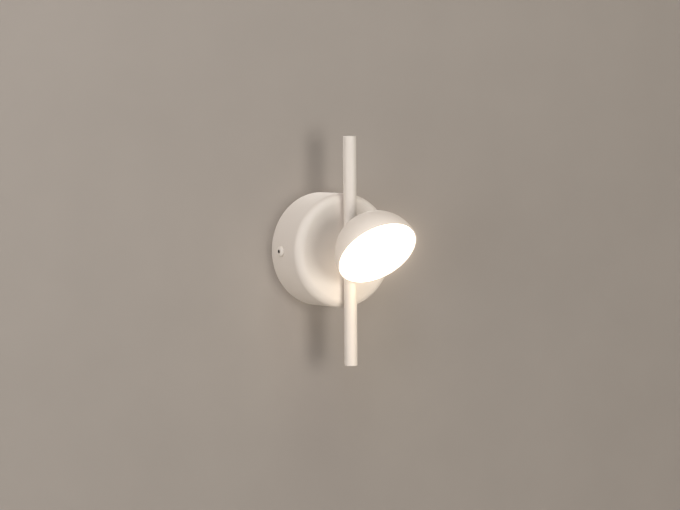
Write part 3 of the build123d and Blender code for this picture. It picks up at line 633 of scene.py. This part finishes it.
green_board = circuit_board("green_board", (0.012, 0.12, 0.045), (0.03, 0.22, 0.08), pi / 2, 0.28)
white_board = circuit_board("white_board", (0.82, 0.82, 0.80), (0.88, 0.88, 0.86), pi / 2 - REST_TILT, 0.3)

# %% [markdown]
# ## Wires
#
# A CAD wire is straight runs and arcs, which looks like bent rod. A real stranded wire eases from one
# bend to the next. Each one is drawn again as a NURBS curve that the same corner points lead, with a
# round section. Then it is made a mesh, whose UV map runs along the wire and around it. The routes
# are in millimetres, and the head's is in the head's own frame, which is turned into place.

# %% Draw the wires
WIRE_RADIUS = 1.1
LEAD_RADIUS = 1.2
SECTION_STEPS, STEPS_PER_SPAN, CURVE_ORDER = 6, 12, 3


def smooth_wire(name, route, radius, turn=None):
    """A wire along a route in millimetres. turn takes the route to its place."""
    curve = bpy.data.curves.new(name, "CURVE")
    curve.dimensions = "3D"
    curve.bevel_depth = radius * MM
    curve.bevel_resolution = SECTION_STEPS
    curve.resolution_u = STEPS_PER_SPAN
    curve.use_fill_caps = True
    line = curve.splines.new("NURBS")
    line.points.add(len(route) - 1)
    for point, corner in zip(line.points, route):
        corner = Vector(corner) * MM
        point.co = (*(turn @ corner if turn else corner), 1)
    line.order_u = CURVE_ORDER
    line.use_endpoint_u = True
    drawn = bpy.data.objects.new(name, curve)
    bpy.context.scene.collection.objects.link(drawn)
    bpy.context.view_layer.update()
    mesh = bpy.data.meshes.new_from_object(drawn)
    bpy.data.objects.remove(drawn)
    mesh.shade_smooth()
    wire = bpy.data.objects.new(name, mesh)
    bpy.context.scene.collection.objects.link(wire)
    print(name, len(mesh.polygons), "faces")
    return wire


into_head = Matrix.Translation(HEAD_CENTRE) @ Matrix.Rotation(REST_TILT, 4, "X")
LIVE_ROUTE = [(-10, -10, -24), (-10, -10, -13), (-17, -10, 4), (-17, -10, 15.5)]
live_wire = smooth_wire("live_wire", LIVE_ROUTE, WIRE_RADIUS)
NEUTRAL_ROUTE = [(0, -10, -24), (0, -10, -13), (-9, -10, 4), (-9, -10, 15.5)]
neutral_wire = smooth_wire("neutral_wire", NEUTRAL_ROUTE, WIRE_RADIUS)
EARTH_ROUTE = [(10, -10, -24), (10, -10, -8), (17, -7, -3), (24, -4.35, -6.5), (24, -3.8, -13.5)]
earth_wire = smooth_wire("earth_wire", EARTH_ROUTE, WIRE_RADIUS)
LAMP_ROUTE = [(12, -10, 15.5), (12, -10, 4), (5, -19, -3), (0, -27, 0), (0, -66.6, 0)]
lamp_wire = smooth_wire("lamp_wire", LAMP_ROUTE, LEAD_RADIUS)
HEAD_ROUTE = [(0, 18.58, -17.32), (0, 14.55, -13.57), (3.38, 13, -5.84), (8.83, 13, 0), (14.7, 13, 0)]
head_wire = smooth_wire("head_wire", HEAD_ROUTE, LEAD_RADIUS, into_head)

# %% [markdown]
# ## Wire insulation
#
# Mains wires are brown and blue, smooth and slightly glossy. The lamp's own lead is white silicone,
# which is softer and duller. The earth wire is green with a yellow stripe along it: the stripe is a
# band of the UV map's V, and V is shifted along the wire so that the stripe winds round it.

# %% Insulation
WIRE_SKIN = (1200, 60, 0.28, 0.36, 0.000004)
brown = grained("brown_insulation", (0.11, 0.045, 0.02), (0.095, 0.038, 0.017), *WIRE_SKIN)
blue = grained("blue_insulation", (0.012, 0.075, 0.30), (0.01, 0.065, 0.27), *WIRE_SKIN)
silicone = grained("silicone", (0.78, 0.75, 0.70), (0.74, 0.71, 0.66), 1200, 60, 0.45, 0.6, 0.00001)

STRIPE_WINDINGS, GREEN_PART = 1.5, 0.6
earth_green = grained("earth_insulation", (0.02, 0.24, 0.05), (0.017, 0.21, 0.045), *WIRE_SKIN)
tree = earth_green.node_tree
shader = tree.nodes["Principled BSDF"]
wire_map = add_node(tree, "ShaderNodeTexCoord")
parts = add_node(tree, "ShaderNodeSeparateXYZ")
wound = add_node(tree, "ShaderNodeMath", {"operation": "MULTIPLY_ADD"}, {1: STRIPE_WINDINGS}, "winds round")
once = add_node(tree, "ShaderNodeMath", {"operation": "FRACT"})
band = add_node(tree, "ShaderNodeMath", {"operation": "GREATER_THAN"}, {1: GREEN_PART}, "yellow part")
stripe = add_node(tree, "ShaderNodeMix", {"data_type": "RGBA"})
stripe.inputs[COLOUR_B].default_value = (0.80, 0.62, 0.03, 1)
link(tree, wire_map.outputs["UV"], parts.inputs[0])
link(tree, parts.outputs["X"], wound.inputs[0])
link(tree, parts.outputs["Y"], wound.inputs[2])
link(tree, wound.outputs[0], once.inputs[0])
link(tree, once.outputs[0], band.inputs[0])
link(tree, band.outputs[0], stripe.inputs["Factor"])
link(tree, shader.inputs["Base Color"].links[0].from_socket, stripe.inputs[COLOUR_A])
link(tree, stripe.outputs[COLOUR_RESULT], shader.inputs["Base Color"])

for wire, material, body, slot, node in (
    (live_wire, brown, "base", "mains_wire", "input_leads"),
    (neutral_wire, blue, "base", "mains_wire", "input_leads"),
    (earth_wire, earth_green, "base", "earth_wire", "earth_lead"),
    (lamp_wire, silicone, "base", "lamp_wire", "lamp_lead"),
    (head_wire, silicone, "head", "lamp_wire", "head_lead"),
):
    wire.data.materials.append(material)
    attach(wire, body)
    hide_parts(node)

# %% [markdown]
# ## The earth wire's tag
#
# The earth wire ends in a ring tag: a stamped washer, a tongue, and a barrel that is crimped round
# the wire. The washer and the barrel are turned: a short open outline, spun a full turn about its axis.
# The tongue between them is a thin bevelled block. All three are one piece of tinned metal. A merged
# spin lists its faces in no fixed order, so they are sorted, and the piece is the same in every run.

# %% The tag's shapes
EARTH_X, EARTH_Z = 24, -22
TAG_BACK, TAG_THICK = -2, 0.8
TAG_RADIUS, TAG_HOLE = 4, 2.1
BARREL_RADIUS, BARREL_Y = 1.8, -3.8
BARREL_LOW, BARREL_HIGH = -16.5, -12.5
CRIMP_DEPTH = 0.25
WASHER_EDGE, HOLE_EDGE, BARREL_EDGE, TONGUE_EDGE = 0.15, 0.1, 0.2, 0.12
TONGUE_INTO_BARREL, TONGUE_SIDE_GAP, TONGUE_THINNER = 0.6, 0.3, 0.02
SPIN_STEPS = 48


def spun_ring(work, outline, centre, axis):
    """Spins a closed outline of points in millimetres about an axis through centre."""
    corners = [work.verts.new(Vector(point) * MM) for point in outline]
    edges = [work.edges.new(pair) for pair in zip(corners, corners[1:] + corners[:1])]
    bmesh.ops.spin(
        work,
        geom=corners + edges,
        cent=Vector(centre) * MM,
        axis=axis,
        angle=2 * pi,
        steps=SPIN_STEPS,
        use_merge=True,
    )


tag_mesh = bmesh.new()
tag_front = TAG_BACK - TAG_THICK
washer_outline = [
    (EARTH_X + TAG_HOLE, TAG_BACK, EARTH_Z),
    (EARTH_X + TAG_RADIUS, TAG_BACK, EARTH_Z),
    (EARTH_X + TAG_RADIUS, tag_front + WASHER_EDGE, EARTH_Z),
    (EARTH_X + TAG_RADIUS - WASHER_EDGE, tag_front, EARTH_Z),
    (EARTH_X + TAG_HOLE + HOLE_EDGE, tag_front, EARTH_Z),
    (EARTH_X + TAG_HOLE, tag_front + HOLE_EDGE, EARTH_Z),
]
spun_ring(tag_mesh, washer_outline, (EARTH_X, 0, EARTH_Z), (0, 1, 0))
barrel_outline = [
    (EARTH_X + WIRE_RADIUS, BARREL_Y, BARREL_LOW),
    (EARTH_X + BARREL_RADIUS - BARREL_EDGE, BARREL_Y, BARREL_LOW),
    (EARTH_X + BARREL_RADIUS, BARREL_Y, BARREL_LOW + BARREL_EDGE),
    (EARTH_X + BARREL_RADIUS - CRIMP_DEPTH, BARREL_Y, (BARREL_LOW + BARREL_HIGH) / 2),
    (EARTH_X + BARREL_RADIUS, BARREL_Y, BARREL_HIGH - BARREL_EDGE),
    (EARTH_X + BARREL_RADIUS - BARREL_EDGE, BARREL_Y, BARREL_HIGH),
    (EARTH_X + WIRE_RADIUS, BARREL_Y, BARREL_HIGH),
]
spun_ring(tag_mesh, barrel_outline, (EARTH_X, BARREL_Y, 0), (0, 0, 1))
tongue_low, tongue_high = EARTH_Z + TAG_HOLE + 1, BARREL_LOW + TONGUE_INTO_BARREL
tongue_middle = Vector((EARTH_X, (TAG_BACK + tag_front) / 2, (tongue_low + tongue_high) / 2)) * MM
tongue_width = 2 * BARREL_RADIUS - 2 * TONGUE_SIDE_GAP
tongue_size = Matrix.Diagonal((tongue_width, TAG_THICK - TONGUE_THINNER, tongue_high - tongue_low, 1))
tongue = bmesh.ops.create_cube(
    tag_mesh, size=MM, matrix=Matrix.Translation(tongue_middle) @ tongue_size
)
tongue_corners = set(tongue["verts"])
tongue_edges = [edge for edge in tag_mesh.edges if tongue_corners.issuperset(edge.verts)]
bmesh.ops.bevel(
    tag_mesh,
    geom=tongue_edges,
    offset=TONGUE_EDGE * MM,
    segments=2,
    profile=0.5,
    affect="EDGES",
    material=-1,
)
bmesh.ops.remove_doubles(tag_mesh, verts=tag_mesh.verts, dist=0.001 * MM)
bmesh.ops.recalc_face_normals(tag_mesh, faces=tag_mesh.faces)
tag_mesh.verts.index_update()
CORNER_COUNT = len(tag_mesh.verts)


def face_rank(face):
    """A number for a face, from its three lowest corners, which no other face shares."""
    first, second, third = sorted(corner.index for corner in face.verts)[:3]
    return (first * CORNER_COUNT + second) * CORNER_COUNT + third


tag_mesh.faces.sort(key=face_rank)


def finished_piece(name, work, material, body, slot, *replaced):
    """Turns a bmesh into a piece that rides on a body and stands for CAD nodes."""
    mesh = bpy.data.meshes.new(name)
    work.to_mesh(mesh)
    work.free()
    mesh.materials.append(material)
    piece = bpy.data.objects.new(name, mesh)
    bpy.context.scene.collection.objects.link(piece)
    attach(piece, body)
    if replaced:
        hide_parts(*replaced)
    print(name, len(mesh.polygons), "faces")
    return piece


tinned = grained("tinned", (0.70, 0.69, 0.67), (0.60, 0.60, 0.59), 1400, 90, 0.22, 0.35, 0.000006, Metallic=1)
finished_piece("earth_tag", tag_mesh, tinned, "base", "zinc_steel", "earth_lead")

# %% [markdown]
# ## Light-emitting diodes
#
# Each diode is a small white square frame with a round yellow window, which is the phosphor that turns
# its blue light warm. There are 19: one in the middle and rings of 6 and 12. Frames and windows
# are two pieces, since they are two stuffs. Each frame is a bevelled cube, and each window a thin disk.

# %% Diodes
CHIP_SIDE, CHIP_THICK = 2.8, 0.7
CHIP_FACE = 5.7
RING_PITCH = 8.105
RING_COUNTS = (1, 6, 12)
CHIP_EDGE = 0.12
WINDOW_RADIUS, WINDOW_PROUD, WINDOW_SIDES = 1.05, 0.04, 24
frames, windows = bmesh.new(), bmesh.new()
for ring_index, count in enumerate(RING_COUNTS):
    for index in range(count):
        about_axis = into_head @ Matrix.Rotation(2 * pi * index / count, 4, "Y")
        centre = Vector((ring_index * RING_PITCH, CHIP_FACE + CHIP_THICK / 2 + WINDOW_PROUD / 2, 0)) * MM
        bmesh.ops.create_cube(
            frames,
            size=MM,
            matrix=about_axis
            @ Matrix.Translation(centre)
            @ Matrix.Diagonal((CHIP_SIDE, CHIP_THICK - WINDOW_PROUD, CHIP_SIDE, 1)),
        )
        face = Vector((ring_index * RING_PITCH, CHIP_FACE + WINDOW_PROUD, 0)) * MM
        bmesh.ops.create_cone(
            windows,
            cap_ends=True,
            segments=WINDOW_SIDES,
            radius1=WINDOW_RADIUS * MM,
            radius2=WINDOW_RADIUS * MM,
            depth=2 * WINDOW_PROUD * MM,
            matrix=about_axis @ Matrix.Translation(face) @ Matrix.Rotation(pi / 2, 4, "X"),
        )
bmesh.ops.bevel(
    frames, geom=frames.edges[:], offset=CHIP_EDGE * MM, segments=2, profile=0.5, affect="EDGES", material=-1
)
chip_frame = grained("chip_frame", (0.86, 0.86, 0.84), (0.83, 0.83, 0.81), 3000, 200, 0.25, 0.35, 0.000003)
phosphor = grained("phosphor", (0.85, 0.58, 0.08), (0.80, 0.53, 0.06), 6000, 600, 0.35, 0.5, 0.00001)
finished_piece("led_frames", frames, chip_frame, "head", "board_white", "led_chips")
finished_piece("led_windows", windows, phosphor, "head", "phosphor", "led_chips")

# %% [markdown]
# ## Finishes on the CAD pieces
#
# The record names a material slot for each node. Each slot gets its finish here, and three nodes get
# their own: the coated screws, the threaded neck and the white plug on the light board.

# %% Give every node its finish
finish_of_slot = {
    "coat": powder_coat,
    "zinc_steel": zinc,
    "acetal": acetal,
    "grommet_rubber": rubber,
    "driver_plastic": housing,
    "circuit_green": green_board,
    "component_black": components,
    "terminal_plastic": terminal,
    "mains_wire": brown,
    "earth_wire": earth_green,
    "lamp_wire": silicone,
    "bare_aluminium": rolled,
    "board_white": white_board,
    "phosphor": phosphor,
    "reflector_white": reflector,
    "opal": opal,
}
finish_of_node = {"cover_screws": screw_coat_with_painted_socket_shade, "neck_tube": threaded_zinc, "board_connector": terminal}
for part in frame["record"]["subparts"]:
    node = nodes[part["node"]]
    node.data.materials.clear()
    node.data.materials.append(finish_of_node.get(part["node"], finish_of_slot[part["material_slot"]]))
